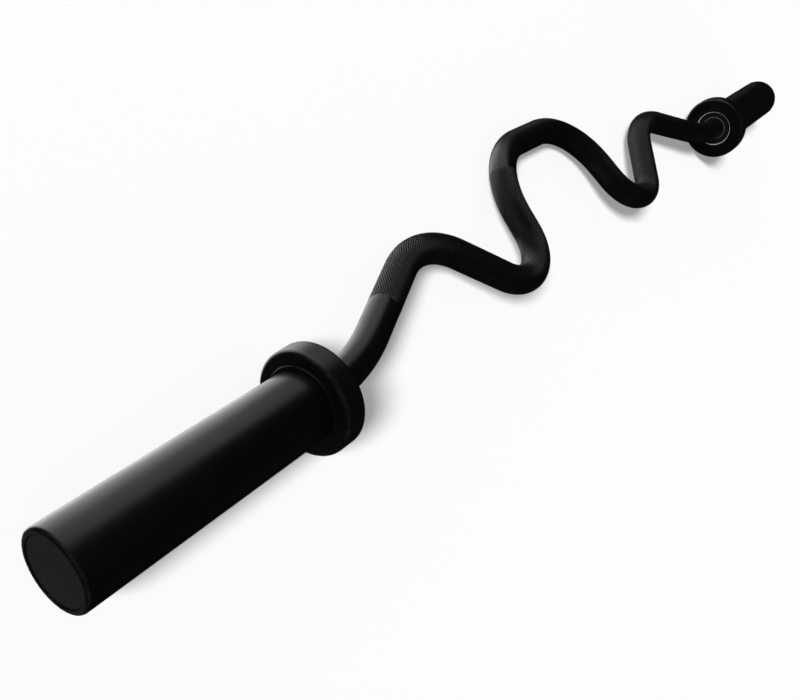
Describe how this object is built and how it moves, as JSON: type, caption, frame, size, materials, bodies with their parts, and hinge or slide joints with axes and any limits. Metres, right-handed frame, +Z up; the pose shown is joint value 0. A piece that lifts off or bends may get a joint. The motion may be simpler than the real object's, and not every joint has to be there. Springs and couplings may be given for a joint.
{
  "type": "curl bar",
  "caption": "Curl bar: zigzag bent steel shaft with knurled grips, and on each end a free-turning plate sleeve with collar, bronze bushes and end cap.",
  "frame": {"origin": "on the floor under the middle of the bar's box, as it lies on both collars and the middle of its shaft", "axes": "+X along the sleeves' common axis, +Y level towards the shaft's middle hump, +Z up from the floor"},
  "size_m": [1.1996, 0.1392, 0.074],
  "materials": {
    "shaft_enamel": "satin black coating over knurled and smooth steel",
    "sleeve_enamel": "satin black coating on turned steel tube",
    "collar_enamel": "satin black coating on turned steel ring",
    "cap_plastic": "matt moulded",
    "washer_black": "black oxide",
    "ring_wire": "drawn spring wire",
    "bush_bronze": "turned bronze",
    "washer_steel": "ground steel",
    "clip_steel": "phosphated spring steel"
  },
  "bodies": {
    "shaft": {"shaft": "shaft_enamel", "left_inner_thrust_washer": "washer_steel", "left_outer_thrust_washer": "washer_steel", "left_circlip": "clip_steel", "right_inner_thrust_washer": "washer_steel", "right_outer_thrust_washer": "washer_steel", "right_circlip": "clip_steel"},
    "left_sleeve": {"left_sleeve": "sleeve_enamel", "left_collar": "collar_enamel", "left_inner_bush": "bush_bronze", "left_outer_bush": "bush_bronze", "left_dust_washer": "washer_black", "left_snap_ring": "ring_wire", "left_end_cap": "cap_plastic"},
    "right_sleeve": {"right_sleeve": "sleeve_enamel", "right_collar": "collar_enamel", "right_inner_bush": "bush_bronze", "right_outer_bush": "bush_bronze", "right_dust_washer": "washer_black", "right_snap_ring": "ring_wire", "right_end_cap": "cap_plastic"}
  },
  "joints": [
    {"name": "left_sleeve_spin", "type": "hinge", "parent": "shaft", "child": "left_sleeve", "pos_m": [-0.5071, -0.03261, 0.037], "axis": [1, 0, 0], "continuous": true},
    {"name": "right_sleeve_spin", "type": "hinge", "parent": "shaft", "child": "right_sleeve", "pos_m": [0.5071, -0.03261, 0.037], "axis": [1, 0, 0], "continuous": true}
  ]
}
